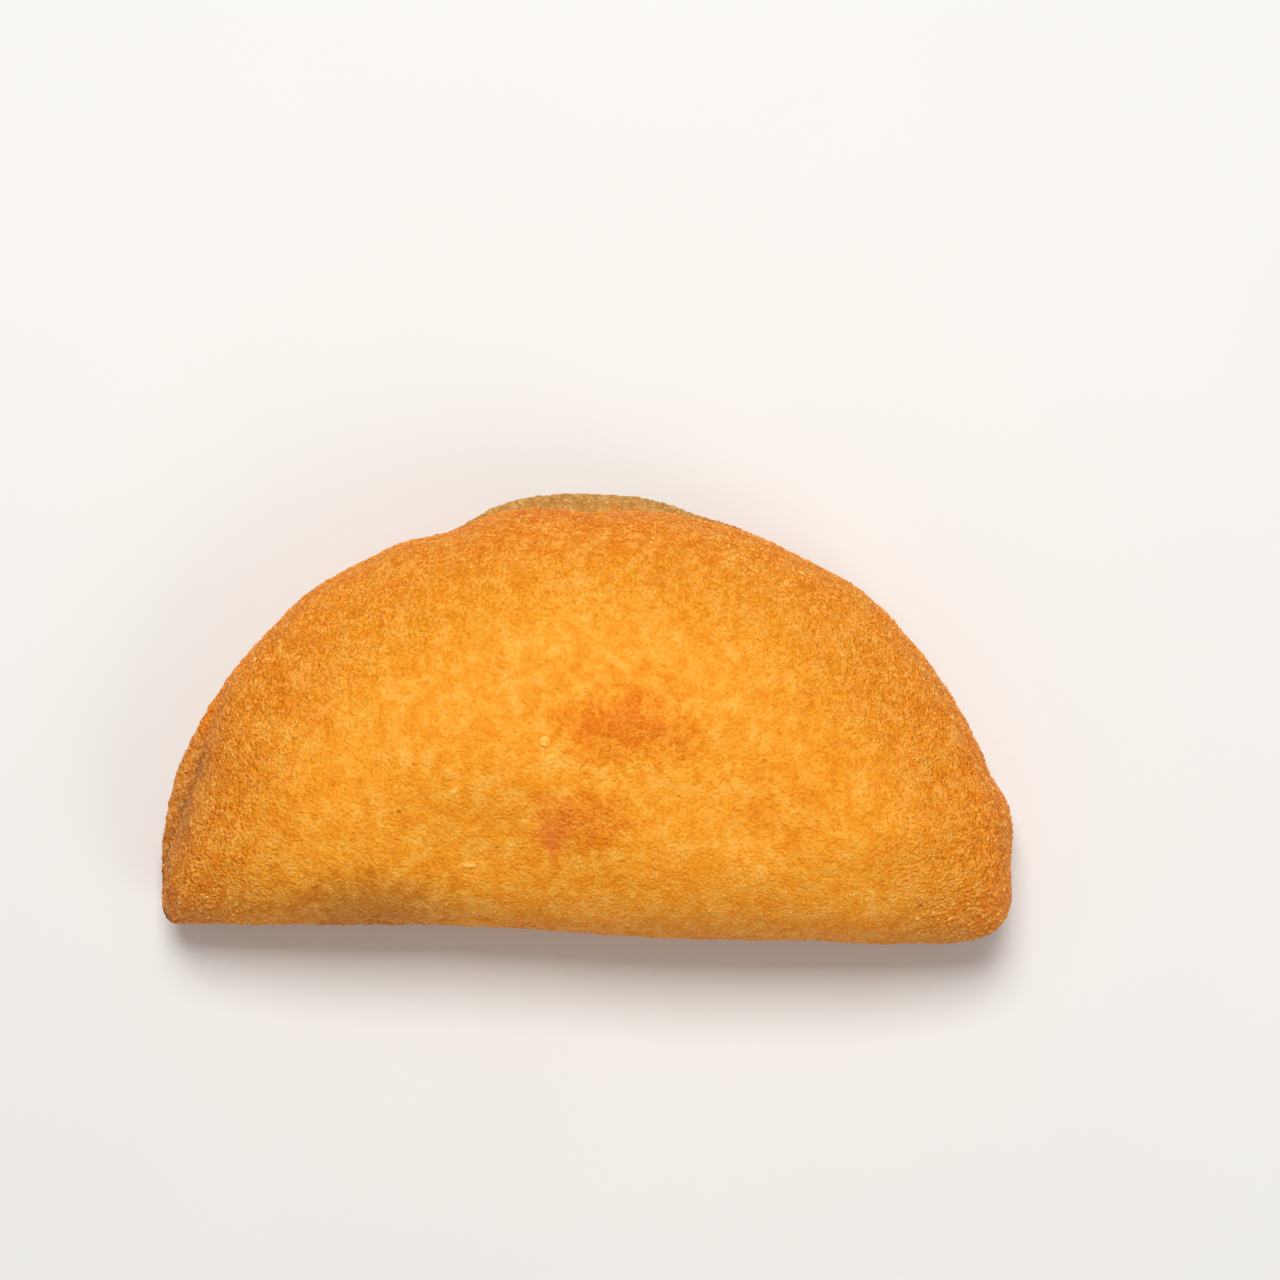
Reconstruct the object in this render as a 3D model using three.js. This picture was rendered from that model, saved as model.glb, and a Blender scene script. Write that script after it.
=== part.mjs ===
// A half-moon rissole: a disc of cooked dough folded over its filling, sealed along the
// curved side, rolled in fine crumb and fried. It is one closed solid, in millimetres with
// +Z up, lying on its flatter face. The fold runs along X on the -Y side, the sealed edge
// bows out towards +Y, and the origin is under the middle of its bounding box.
import * as THREE from 'three';
import { mergeVertices } from 'three/addons/utils/BufferGeometryUtils.js';

// Driving dimensions, in millimetres.
const LENGTH = 92; // along the fold, end to end
const DISC_RADIUS = 46.9; // of the folded dough disc, which is a little wider than LENGTH
const CROWN_HEIGHT = 23; // from the resting face to the top of the dome, before its swells
const SEAL_HEIGHT = 5.6; // of the widest line above the resting face, along the sealed edge
const FOLD_HEIGHT = 9.4; // of the widest line of the fold's round side, at mid-length
const LIP_RISE = 2.2; // the lower layer's lip above the widest line
const EDGE_RISE = 3.2; // the upper layer's blunt edge above that lip
const LEFT_CORNER = 0.9; // corner radii at the two ends of the fold
const RIGHT_CORNER = 6.2;

// How far each round stretches inwards before it flattens out.
const LIP_REACH = 2;
const EDGE_REACH = 3.2;
const DOME_REACH = 27; // from the middle of the sealed edge
const DOME_REACH_AT_ENDS = 40;
const FOLD_REACH = 23; // at mid-length, where the filling is thickest
const FOLD_REACH_AT_ENDS = 10;
const UNDER_SEAL_REACH = 5;
const UNDER_FOLD_REACH = 10;
const UNDER_FOLD_REACH_AT_ENDS = 4;
const ROUND = 2; // a superellipse exponent: 2 is a circle's quarter, and more is fuller
const FULL = 2.4;

// Bumps and hollows of the curved outline: the angle round the disc's centre from +X, in
// degrees, how far out it stands, and how wide it is, in degrees.
const RIM_FEATURES = [
  { at: 15, out: 0.8, spread: 3.4 }, // a knuckle where the seal was pinched off
  { at: 21, out: -0.45, spread: 4 },
  { at: 34, out: -0.2, spread: 4 },
  { at: 46, out: 0.2, spread: 4 },
  { at: 68, out: -0.8, spread: 11 },
  { at: 93, out: 0.25, spread: 6 },
  { at: 110, out: -1.5, spread: 5.5 }, // a notch where the lip begins to show
  { at: 118, out: -0.3, spread: 6 },
  { at: 134, out: 0.25, spread: 4 },
  { at: 153, out: 0.75, spread: 15 },
];
const RIM_RIPPLE = 0.12; // the fine waviness of a hand-sealed edge
const RIM_RIPPLES = 23;

// Where the upper layer is set back from the lower one, so that the lower lip shows.
const LIP_STRETCHES = [
  { at: 90, width: 2.0, spread: 13 }, // the middle of the sealed edge
  { at: 160, width: 2.1, spread: 9.5 }, // the left end
];
const LIP_LEAST = 0.4;
const CREASE_DEPTH = 0.5; // the pressed line between lip and upper layer
const CREASE_WIDTH = 0.9;

// The fold's line in plan steps outwards from left to right: by how much, and from where to
// where, as shares of half the length.
const FOLD_STEPS_OUT = [
  { out: 1.62, from: -0.42, to: 0.34 },
  { out: 0.45, from: 0.5, to: 0.64 },
];

// Broad swells of the filling under the dough: height, wavelength, direction and phase.
const SWELLS = [
  { height: 0.4, length: 33, heading: 24, phase: 0.8 },
  { height: 0.3, length: 22, heading: 108, phase: 2.1 },
  { height: 0.16, length: 15, heading: 61, phase: 4.0 },
];

// Fineness of the faceted surface.
const FOLD_POINTS = 32; // along the fold's line
const SPOKES = 148;
const UPPER_RINGS = 19; // from the crown to the upper layer's edge
const LIP_RINGS = 3; // across the lower layer's lip
const LOWER_RINGS = 11; // from the outline to the middle of the resting face
const RING_CROWDING = 1.5; // above 1, rings crowd towards the edge, where it curves most
const LIP_CROWDING = 0.6; // below 1, the lip's rings crowd towards the outline

const HALF_LENGTH = LENGTH / 2;
const END_RISE = Math.sqrt(DISC_RADIUS ** 2 - HALF_LENGTH ** 2); // where arc meets end
const HEART = new THREE.Vector2(0, 20); // the spokes' centre, well inside the outline

const { clamp, degToRad, lerp, radToDeg, smoothstep } = THREE.MathUtils;
const bell = (distance, spread) => Math.exp(-((distance / spread) ** 2));

// A rounded rise from 0 at an edge to 1 at reach, with an upright start.
function rounded(distance, reach, exponent) {
  const left = 1 - clamp(distance / reach, 0, 1);
  return (1 - left ** exponent) ** (1 / exponent);
}

// The angle of a point round the disc's centre, from -90 to 270 degrees.
function discAngle(x, y) {
  const angle = radToDeg(Math.atan2(y, x));
  return angle < -90 ? angle + 360 : angle;
}

// How far the outline stands out of its ideal arc at an angle.
function rimOffset(angle) {
  const features = RIM_FEATURES.reduce((sum, f) => sum + f.out * bell(angle - f.at, f.spread), 0);
  const ripple = RIM_RIPPLE * Math.sin(RIM_RIPPLES * degToRad(angle));
  return features + ripple * smoothstep(angle, 4, 14) * smoothstep(180 - angle, 4, 14);
}

// How far the upper layer is set back from the lower one at an angle.
function lipWidth(angle) {
  const shown = LIP_STRETCHES.reduce((sum, s) => sum + s.width * bell(angle - s.at, s.spread), 0);
  return LIP_LEAST + shown;
}

// The fold's line in plan, with a soft curve for each of its steps.
function foldLine(x) {
  const share = x / HALF_LENGTH;
  return FOLD_STEPS_OUT.reduce((y, s) => y - s.out * smoothstep(share, s.from, s.to), 0);
}

// The ideal outline in plan, anticlockwise from the left end of the fold.
function idealOutline() {
  const left = foldLine(-HALF_LENGTH);
  const right = foldLine(HALF_LENGTH);
  const endAngle = Math.asin(END_RISE / DISC_RADIUS);
  const path = new THREE.Path();
  const start = -HALF_LENGTH + LEFT_CORNER;
  const end = HALF_LENGTH - RIGHT_CORNER;
  path.moveTo(start, left);
  for (let step = 1; step <= FOLD_POINTS; step++) {
    const x = lerp(start, end, step / FOLD_POINTS);
    path.lineTo(x, foldLine(x));
  }
  path.absarc(end, right + RIGHT_CORNER, RIGHT_CORNER, -Math.PI / 2, 0, false);
  path.lineTo(HALF_LENGTH, END_RISE);
  path.absarc(0, 0, DISC_RADIUS, endAngle, Math.PI - endAngle, false);
  path.lineTo(-HALF_LENGTH, left + LEFT_CORNER);
  path.absarc(start, left + LEFT_CORNER, LEFT_CORNER, Math.PI, 1.5 * Math.PI, false);
  return path;
}

// The outline as it was sealed by hand, as one point for each spoke.
function outlinePoints() {
  return idealOutline()
    .getSpacedPoints(SPOKES)
    .map((point) => {
      const radius = point.length();
      const offset = rimOffset(discAngle(point.x, point.y));
      return point.multiplyScalar((radius + offset) / radius);
    });
}

// The smaller of two distances, rounded off where they are nearly equal.
function softMin(a, b) {
  const near = Math.max(0, a);
  const far = Math.max(0, b);
  return near * far > 0 ? (near * far) / Math.sqrt(Math.hypot(near ** 2, far ** 2)) : 0;
}

// A reach that changes from mid-length to the two ends.
const reachAt = (x, middle, ends) => lerp(middle, ends, Math.min(1, (x / HALF_LENGTH) ** 2));

// Distances of a point in plan from the sealed edge and from the fold.
function edgeDistances(x, y) {
  const angle = discAngle(x, y);
  const offset = rimOffset(angle);
  const fromArc = DISC_RADIUS + offset - Math.hypot(x, y);
  const fromEnd = HALF_LENGTH + offset - Math.abs(x);
  return {
    angle,
    fromSeal: softMin(fromArc, fromEnd),
    fromFold: Math.max(0, y - foldLine(x)),
  };
}

// The height of the widest line, where the lower surface meets the upper one.
function seamHeight(x, y) {
  const foldShare = bell(Math.max(0, y - foldLine(x)), 9) * (1 - (x / HALF_LENGTH) ** 2);
  return lerp(SEAL_HEIGHT, FOLD_HEIGHT, Math.max(0, foldShare));
}

// The broad swells of the dome.
function swell(x, y) {
  return SWELLS.reduce((sum, s) => {
    const heading = degToRad(s.heading);
    const along = x * Math.cos(heading) + y * Math.sin(heading);
    return sum + s.height * Math.sin((2 * Math.PI * along) / s.length + s.phase);
  }, 0);
}

// The upper surface: the lower layer's lip, the upper layer's blunt edge, and the dome.
function upperHeight(x, y) {
  const { angle, fromSeal, fromFold } = edgeDistances(x, y);
  const seam = seamHeight(x, y);
  const setBack = lipWidth(angle);
  const fromEdge = Math.max(0, fromSeal - setBack);
  const domeRise = CROWN_HEIGHT - seam - LIP_RISE - EDGE_RISE;
  const domeReach = reachAt(x, DOME_REACH, DOME_REACH_AT_ENDS);
  const dome = domeRise * rounded(fromEdge, domeReach, ROUND);
  const rise =
    LIP_RISE * rounded(fromSeal, LIP_REACH, ROUND) +
    EDGE_RISE * rounded(fromEdge, EDGE_REACH, ROUND) +
    dome;
  const crease = CREASE_DEPTH * bell(fromSeal - setBack, CREASE_WIDTH);
  const inner = smoothstep(fromEdge, 1, 12) * smoothstep(fromFold, 1, 12);
  const fold = rounded(fromFold, reachAt(x, FOLD_REACH, FOLD_REACH_AT_ENDS), FULL);
  return seam + (rise - crease) * fold + swell(x, y) * inner;
}

// The lower surface: it rounds in under the edge to a flat resting face.
function lowerHeight(x, y) {
  const { fromSeal, fromFold } = edgeDistances(x, y);
  const sealRound = rounded(fromSeal, UNDER_SEAL_REACH, ROUND);
  const foldReach = reachAt(x, UNDER_FOLD_REACH, UNDER_FOLD_REACH_AT_ENDS);
  const foldRound = rounded(fromFold, foldReach, ROUND);
  return seamHeight(x, y) * (1 - sealRound * foldRound);
}

// The rings of the surface from the crown, over the edge, to the middle of the resting
// face. Each gives a point's place in plan and its height, for one spoke's outline point.
function rings() {
  const share = (step, steps) => 1 - (1 - step / steps) ** RING_CROWDING;
  const onSpoke = (outline, s) => HEART.clone().lerp(outline, s);
  const upperEdge = (outline) => {
    const inwards = HEART.clone().sub(outline).setLength(lipWidth(discAngle(outline.x, outline.y)));
    return outline.clone().add(inwards);
  };
  const made = [];
  for (let step = 0; step <= UPPER_RINGS; step++) {
    made.push({ place: (p) => onSpoke(upperEdge(p), share(step, UPPER_RINGS)), height: upperHeight });
  }
  for (let step = 1; step < LIP_RINGS; step++) {
    const t = step / LIP_RINGS;
    made.push({ place: (p) => upperEdge(p).lerp(p, t ** LIP_CROWDING), height: upperHeight });
  }
  made.push({ place: (p) => p.clone(), height: seamHeight });
  for (let step = LOWER_RINGS - 1; step >= 0; step--) {
    made.push({ place: (p) => onSpoke(p, share(step, LOWER_RINGS)), height: lowerHeight });
  }
  return made;
}

// A ball's mesh, with each ring of latitude moved to a ring of the rissole.
function rissoleGeometry() {
  const outline = outlinePoints();
  const rows = rings();
  const geometry = new THREE.SphereGeometry(1, SPOKES, rows.length - 1);
  const { position, uv } = geometry.attributes;
  for (let i = 0; i < position.count; i++) {
    const row = rows[Math.round((1 - uv.getY(i)) * (rows.length - 1))];
    const spoke = outline[Math.round(uv.getX(i) * SPOKES + SPOKES) % SPOKES];
    const { x, y } = row.place(spoke);
    position.setXYZ(i, x, y, row.height(x, y));
  }
  geometry.deleteAttribute('uv');
  geometry.deleteAttribute('normal');
  const closed = mergeVertices(geometry, 1e-3);
  closed.computeBoundingBox();
  const { min, max } = closed.boundingBox;
  closed.translate(-(min.x + max.x) / 2, -(min.y + max.y) / 2, -min.z);
  closed.computeVertexNormals();
  return closed;
}

// Golden crumbed crust.
const crust = new THREE.MeshStandardMaterial({ color: 0xe99530, roughness: 0.62, metalness: 0 });

const rissole = new THREE.Mesh(rissoleGeometry(), crust);
rissole.name = 'rissole';

const group = new THREE.Group();
group.add(rissole);

export default group;
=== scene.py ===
"""A half-moon meat rissole: a folded dough parcel in its coat of fried crumb.

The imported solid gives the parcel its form. On top of it this script makes the crust, a fine
skin with the low relief of crumb rolled on by hand, and the single grains that stand out of
that skin, in three roasts. Sizes and places are in millimetres, and the studio's in metres,
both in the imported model's own frame.
"""

import logging
import math
from dataclasses import dataclass
from enum import Enum
from typing import Any, Optional, Union

import bpy
import numpy as np
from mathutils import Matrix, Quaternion, Vector


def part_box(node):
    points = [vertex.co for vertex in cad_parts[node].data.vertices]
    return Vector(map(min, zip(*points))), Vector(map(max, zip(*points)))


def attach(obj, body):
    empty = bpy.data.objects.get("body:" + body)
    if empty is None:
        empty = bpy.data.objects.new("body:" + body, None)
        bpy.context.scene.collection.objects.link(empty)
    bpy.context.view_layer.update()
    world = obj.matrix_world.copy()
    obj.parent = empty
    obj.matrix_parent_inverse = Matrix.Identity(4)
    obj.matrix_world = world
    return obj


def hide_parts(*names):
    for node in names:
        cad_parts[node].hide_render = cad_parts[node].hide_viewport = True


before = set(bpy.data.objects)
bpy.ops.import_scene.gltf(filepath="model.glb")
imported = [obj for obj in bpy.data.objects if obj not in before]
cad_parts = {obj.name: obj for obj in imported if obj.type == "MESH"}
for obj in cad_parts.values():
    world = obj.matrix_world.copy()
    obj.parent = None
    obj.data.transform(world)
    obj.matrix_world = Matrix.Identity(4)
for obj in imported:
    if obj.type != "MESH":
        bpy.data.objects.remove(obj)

LOG = logging.getLogger("rissole")
MM = 0.001
FOLD_STEP = 2.07  # how far, in millimetres, the fold's right end stands out beyond its left

Number = Union[float, "Level"]
Colour = tuple[float, float, float, float]
Stops = tuple[tuple[float, Colour], ...]


def shade(red: int, green: int, blue: int) -> Colour:
    """A paint colour from its everyday 0 to 255 values, as scene-linear light.

    Args:
        red: the red value.
        green: the green value.
        blue: the blue value.

    Returns:
        The linear colour, opaque.
    """

    def linear(value: int) -> float:
        """One channel, from its display value to linear light."""
        share = value / 255
        return share / 12.92 if share <= 0.04045 else ((share + 0.055) / 1.055) ** 2.4

    return linear(red), linear(green), linear(blue), 1.0


SALMON = shade(232, 118, 46)
PALE_CURL_AND_HIGHLIGHT = shade(255, 176, 78)
FILM: Stops = (
    (0.0, shade(235, 140, 14)),
    (0.4, shade(247, 166, 41)),
    (0.8, shade(254, 195, 87)),
    (1.0, shade(255, 214, 134)),
)
DOUGH: Stops = ((0.2, shade(222, 176, 104)), (0.5, shade(196, 143, 70)), (0.8, shade(172, 112, 44)))
# What is left of each colour of light: as the crumb browns, under painted shade deep in the crumb and
# each grain's own tone, and under a patch's painted shade.
TOAST: Stops = (
    (0.0, (1.0, 1.0, 1.0, 1.0)),
    (0.35, (1.0, 0.86, 0.84, 1.0)),
    (0.7, (0.95, 0.66, 0.68, 1.0)),
    (1.0, (0.4, 0.22, 0.2, 1.0)),
)
PAINTED_CRUMB_SHADE_AND_TONE: Colour = (0.8, 0.68, 0.4, 1.0)
PAINTED_SHADE_TINT: Colour = (0.4, 0.41, 0.56, 1.0)


class Level:
    """A number that varies over a surface. Its arithmetic adds Math nodes."""

    def __init__(self, paint: "Paint", socket: bpy.types.NodeSocket) -> None:
        """Wraps one output socket of a paint's node tree."""
        self.paint = paint
        self.socket = socket

    def maths(self, operation: str, *values: Number) -> "Level":
        """Adds one Math node.

        Args:
            operation: the node's operation.
            values: its inputs, in their order. With none, it works on this level alone.

        Returns:
            The node's result.
        """
        inputs = dict(enumerate(values or (self,)))
        node = self.paint.node("ShaderNodeMath", {"operation": operation}, inputs)
        return Level(self.paint, node.outputs[0])

    def __add__(self, other: Number) -> "Level":
        """self + other."""
        return self.maths("ADD", self, other)

    def __radd__(self, other: Number) -> "Level":
        """other + self."""
        return self.maths("ADD", other, self)

    def __sub__(self, other: Number) -> "Level":
        """self - other."""
        return self.maths("SUBTRACT", self, other)

    def __rsub__(self, other: Number) -> "Level":
        """other - self."""
        return self.maths("SUBTRACT", other, self)

    def __mul__(self, other: Number) -> "Level":
        """self * other."""
        return self.maths("MULTIPLY", self, other)

    def __rmul__(self, other: Number) -> "Level":
        """other * self."""
        return self.maths("MULTIPLY", other, self)

    def __truediv__(self, other: Number) -> "Level":
        """self / other."""
        return self.maths("DIVIDE", self, other)

    def __pow__(self, other: Number) -> "Level":
        """self ** other."""
        return self.maths("POWER", self, other)

    def ease(self, low: float, high: float) -> "Level":
        """A smooth step of this level, from 0 at low to 1 at high, or the other way round.

        Args:
            low: where the step is 0.
            high: where the step is 1. It may be the smaller of the two.

        Returns:
            The step.
        """
        rising = high > low
        node = self.paint.node(
            "ShaderNodeMapRange",
            {"interpolation_type": "SMOOTHSTEP"},
            {
                "Value": self,
                "From Min": min(low, high),
                "From Max": max(low, high),
                "To Min": 0.0 if rising else 1.0,
                "To Max": 1.0 if rising else 0.0,
            },
        )
        return Level(self.paint, node.outputs[0])


class Paint:
    """A material in the making: one node tree, and the ways to fill it."""

    def __init__(self, name: str) -> None:
        """Starts an empty material."""
        self.material = bpy.data.materials.new(name)
        self.material.use_nodes = True
        self.tree = self.material.node_tree
        self.tree.nodes.clear()

    def node(
        self,
        kind: str,
        settings: Optional[dict[str, Any]] = None,
        inputs: Optional[dict[Union[int, str], Any]] = None,
    ) -> bpy.types.Node:
        """Adds one node.

        Args:
            kind: the node's type.
            settings: its properties, set first. "stops" holds a ramp's positions and colours.
            inputs: the value or link of each socket, by name or number.

        Returns:
            The new node.
        """
        node = self.tree.nodes.new(kind)
        for name, value in (settings or {}).items():
            if name == "stops":
                self._fill_ramp(node.color_ramp, value)
            else:
                setattr(node, name, value)
        for key, value in (inputs or {}).items():
            source = value.socket if isinstance(value, Level) else value
            if isinstance(source, bpy.types.NodeSocket):
                self.tree.links.new(source, node.inputs[key])
            else:
                node.inputs[key].default_value = source
        return node

    @staticmethod
    def _fill_ramp(ramp: bpy.types.ColorRamp, stops: Stops) -> None:
        """Gives a colour ramp its stops.

        Args:
            ramp: the ramp, with the two stops that it starts with.
            stops: each stop's position and colour, at least two.
        """
        while len(ramp.elements) < len(stops):
            ramp.elements.new(1.0)
        for element, (position, colour) in zip(ramp.elements, stops):
            element.position = position
            element.color = colour

    def place(self, shift: float = 0.0) -> bpy.types.NodeSocket:
        """The surface's place in millimetres, moved along a slanted line.

        Args:
            shift: how far it is moved, so that patterns of one size differ.

        Returns:
            The place's socket.
        """
        where = self.node("ShaderNodeTexCoord")
        moved = self.node(
            "ShaderNodeVectorMath",
            {"operation": "MULTIPLY_ADD"},
            {0: where.outputs["Object"], 1: (1 / MM,) * 3, 2: (shift, 1.7 * shift, -0.6 * shift)},
        )
        return moved.outputs[0]

    def axes(self) -> tuple[Level, Level, Level]:
        """The surface's place as three levels, x, y and z, in millimetres."""
        node = self.node("ShaderNodeSeparateXYZ", None, {0: self.place()})
        return tuple(Level(self, socket) for socket in node.outputs)

    def clouds(self, size: float, shift: float, detail: float = 2.0, rough: float = 0.55) -> Level:
        """Soft noise from 0 to 1.

        Args:
            size: its wavelength, in millimetres.
            shift: sets it apart from other noise of that size.
            detail: how many finer octaves it has.
            rough: how strong the finer octaves are.

        Returns:
            The noise, about 0.5 on average.
        """
        node = self.node(
            "ShaderNodeTexNoise",
            None,
            {"Vector": self.place(shift), "Scale": 1 / size, "Detail": detail, "Roughness": rough},
        )
        return Level(self, node.outputs[0])

    def grains(self, size: float, shift: float) -> tuple[Level, Level]:
        """A pattern of packed grains.

        Args:
            size: a grain's width, in millimetres.
            shift: sets it apart from other grains of that size.

        Returns:
            Each point's distance from its grain's middle, in grain widths, and the grain's
            own random number.
        """
        node = self.node(
            "ShaderNodeTexVoronoi",
            {"feature": "F1"},
            {"Vector": self.place(shift), "Scale": 1 / size, "Randomness": 1.0},
        )
        split = self.node("ShaderNodeSeparateColor", None, {0: node.outputs["Color"]})
        return Level(self, node.outputs["Distance"]), Level(self, split.outputs[0])

    def threads(self, size: float, shift: float, width: float) -> Level:
        """Thin winding lines, where soft noise crosses its own middle.

        Args:
            size: the noise's wavelength, in millimetres.
            shift: sets the lines apart from others of that size.
            width: their half-width, as a step of the noise.

        Returns:
            The lines, 1 along their middle and 0 between them.
        """
        away = (self.clouds(size, shift, detail=2.0, rough=0.5) - 0.5).maths("ABSOLUTE")
        return away.ease(width, 0.3 * width)

    def own(self, name: str) -> Level:
        """A number stored on the piece itself, by its attribute's name."""
        node = self.node("ShaderNodeAttribute", {"attribute_name": name})
        return Level(self, node.outputs["Fac"])

    def mix(self, first: Any, second: Any, share: Number, blend: str = "MIX") -> bpy.types.NodeSocket:
        """Mixes two colours.

        Args:
            first: the colour, or its socket, where share is 0.
            second: the colour, or its socket, where share is 1.
            share: how much of the second there is.
            blend: the way they mix.

        Returns:
            The mixed colour's socket.
        """
        node = self.node(
            "ShaderNodeMix",
            {"data_type": "RGBA", "blend_type": blend, "clamp_factor": True},
            {0: share, 6: first, 7: second},
        )
        return node.outputs[2]

    def ramp(self, level: Level, stops: Stops) -> bpy.types.NodeSocket:
        """Turns a level into a colour along a ramp of stops."""
        node = self.node("ShaderNodeValToRGB", {"stops": stops}, {0: level})
        return node.outputs[0]

    def finish(
        self,
        colour: Any,
        rough: Number,
        relief: Optional[Level] = None,
        height: float = 0.0,
        gloss: float = 0.3,
        under: float = 0.0,
    ) -> bpy.types.Material:
        """Closes the material with its surface shader.

        Args:
            colour: the base colour or its socket.
            rough: the roughness.
            relief: a height field from 0 to 1, if the surface has fine relief.
            height: the relief's height at 1, in millimetres.
            gloss: the specular level.
            under: how much light goes in under the surface.

        Returns:
            The finished material.
        """
        inputs = {
            "Base Color": colour,
            "Roughness": rough,
            "Specular IOR Level": gloss,
            "Subsurface Weight": under,
            "Subsurface Radius": (1.0, 0.45, 0.12),
            "Subsurface Scale": 0.7 * MM,
        }
        if relief is not None:
            bump = self.node(
                "ShaderNodeBump", None, {"Strength": 1.0, "Distance": height * MM, "Height": relief}
            )
            inputs["Normal"] = bump.outputs[0]
        shader = self.node("ShaderNodeBsdfPrincipled", None, inputs)
        self.node("ShaderNodeOutputMaterial", None, {0: shader.outputs[0]})
        return self.material


class Mould(Enum):
    """What a grain of crumb starts from, with its length, width and thickness."""

    BALL = (1.0, 1.0, 0.6)
    CHIP = (1.1, 0.9, 0.5)
    FLAKE = (1.6, 0.8, 0.5)


class Roast(Enum):
    """How far a grain of crumb has fried, as how much paler than the crust it is."""

    PALE = 0.4
    GOLDEN = 0.2
    TOASTED = -0.1


@dataclass(frozen=True)
class Patch:
    """A spot of the crust that fried differently from what is round it, or that carries painted light
    or shade, in millimetres.

    Attributes:
        x: its middle, as seen from above.
        y: its middle.
        wide: half its width along X.
        deep: half its depth along Y.
        toast_and_painted_light: how much browner it is. A negative number is paler; at the shoulder
            that paler colour is painted light.
        amber: how much of the pale film of flour and oil it has lost.
        blush: how far it turned to a salmon red.
        dough: how much of the plain dough shows in it.
        painted_shade: how much painted shade darkens it, at the same hue.
    """

    x: float
    y: float
    wide: float
    deep: float
    toast_and_painted_light: float
    amber: float = 0.0
    blush: float = 0.0
    dough: float = 0.0
    painted_shade: float = 0.0


@dataclass(frozen=True)
class Browning:
    """How the frying coloured the coat, from place to place.

    Two things vary. The film is the pale flour and oil on the crumb: where it is thin the
    crumb is amber, and where it is thick the crumb is a pale gold. The browning darkens both.

    Attributes:
        patches: the spots that stand out.
        heart: where the folded disc's middle lies along Y, in millimetres.
        seal_inner: how far from that middle the sealed edge's browning starts.
        seal_outer: how far from that middle it is full.
        fold_inner: how far behind that middle the fold's browning starts.
        fray: how far a patch's edge wanders, in half-widths of the patch.
        shown_none: up to which height there are no patches.
        shown_full: from which height they are full.
    """

    patches: tuple[Patch, ...]
    heart: float
    seal_inner: float = 32.0
    seal_outer: float = 47.0
    fold_inner: float = 6.5
    fray: float = 2.4
    shown_none: float = 3.0
    shown_full: float = 6.0

    def flecks(self, paint: Paint) -> Level:
        """Unevenness as large as a few crumbs, which also frays the patches' edges."""
        return paint.clouds(1.3, 57.0, detail=3.0, rough=0.6)

    def spot(self, paint: Paint, patch: Patch, ragged: Level) -> Level:
        """One patch of the shown side as a level from 0 to 1, with a ragged edge.

        Args:
            paint: the material that it goes into.
            patch: the patch.
            ragged: noise that frays its edge.

        Returns:
            The patch's share, which is 0 outside it and on the underside.
        """
        x, y, z = paint.axes()
        across = (x - patch.x) / patch.wide
        along = (y - patch.y) / patch.deep
        reach = (across * across + along * along) ** 0.5
        inside = (reach + self.fray * (ragged - 0.5)).ease(1.4, 0.3)
        return inside * z.ease(self.shown_none, self.shown_full)

    def outwards(self, paint: Paint) -> Level:
        """The distance from the folded disc's middle, in millimetres."""
        x, y, _ = paint.axes()
        return (x * x + (y - self.heart) * (y - self.heart)) ** 0.5

    def pits(self, paint: Paint) -> Level:
        """Pinholes where steam came out, few deep ones and many shallow, and 0 round them."""
        reach, own = paint.grains(2.6, 71.0)
        nearest, chance = paint.grains(0.8, 47.0)
        deep = 0.7 * reach.ease(0.09, 0.04) * own.ease(0.7, 0.75)
        return deep + 0.25 * nearest.ease(0.3, 0.12) * chance.ease(0.62, 0.7)

    def bare(self, paint: Paint) -> Level:
        """How much of the crumb shows through the film, from 0 to 1.

        Args:
            paint: the material that it goes into.

        Returns:
            1 near the sealed edge, some of it in the spots that lost their film, and little
            on the rest of the crown.
        """
        ragged = self.flecks(paint)
        shown = 0.2 + 0.8 * self.outwards(paint).ease(28.0, 42.0)
        for patch in self.patches:
            if patch.amber:
                shown = shown + 0.6 * patch.amber * self.spot(paint, patch, ragged)
        return shown.maths("MINIMUM", shown, 1.0)

    def curls(self, paint: Paint) -> Level:
        """The thin edges of crumb, as 1 along an edge; the coat paints them pale, partly their own
        colour and partly a painted highlight.
        """
        broken = paint.clouds(1.5, 97.0, detail=2.0).ease(0.44, 0.58)
        return paint.threads(1.1, 91.0, 0.07) * broken * paint.own("scorch").ease(0.3, 0.05)

    def colour(self, paint: Paint, bare: Level, lift: Number, painted_shade_and_tone: Number) -> bpy.types.NodeSocket:
        """The coat's colour at each point.

        Args:
            paint: the material that it goes into.
            bare: how much of the crumb shows.
            lift: how much paler than the crust this surface is.
            painted_shade_and_tone: how much it is darkened, from 0 to 1: painted shade deep in the
                crumb, and each grain's own tone.

        Returns:
            The colour's socket.
        """
        _, y, z = paint.axes()
        broad = paint.clouds(11.0, 3.0, detail=3.0)
        middling = paint.clouds(3.0, 11.0, detail=4.0, rough=0.6)
        flecks = self.flecks(paint)
        fine = paint.clouds(0.5, 23.0, detail=2.0, rough=0.6)
        # the film, thin at 0 and thick at 1, is uneven at four scales and thicker over the fold
        film = 0.45 + 0.25 * (broad - 0.5) + 1.1 * (middling - 0.5) + 0.3 * (fine - 0.5)
        film = film + 0.3 * (flecks.ease(0.43, 0.57) - 0.5) + lift
        # the browning, from none at 0 to charred at 1, is stronger at the edges and by the fold, and
        # the last term darkens the coat low down
        seal = (self.outwards(paint) + 3.0 * (middling - 0.5)).ease(self.seal_inner, self.seal_outer)
        fold = (y - self.heart + 3.0 * (middling - 0.5)).ease(self.fold_inner, 0.0)
        toast_and_painted_light = 0.12 + 0.25 * (broad - 0.5) + 0.25 * (flecks - 0.5) - 0.3 * lift
        toast_and_painted_light = toast_and_painted_light + 0.32 * seal + 0.2 * fold + 0.16 * z.ease(9.0, 1.0)
        film = film + 0.14 * fold
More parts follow.
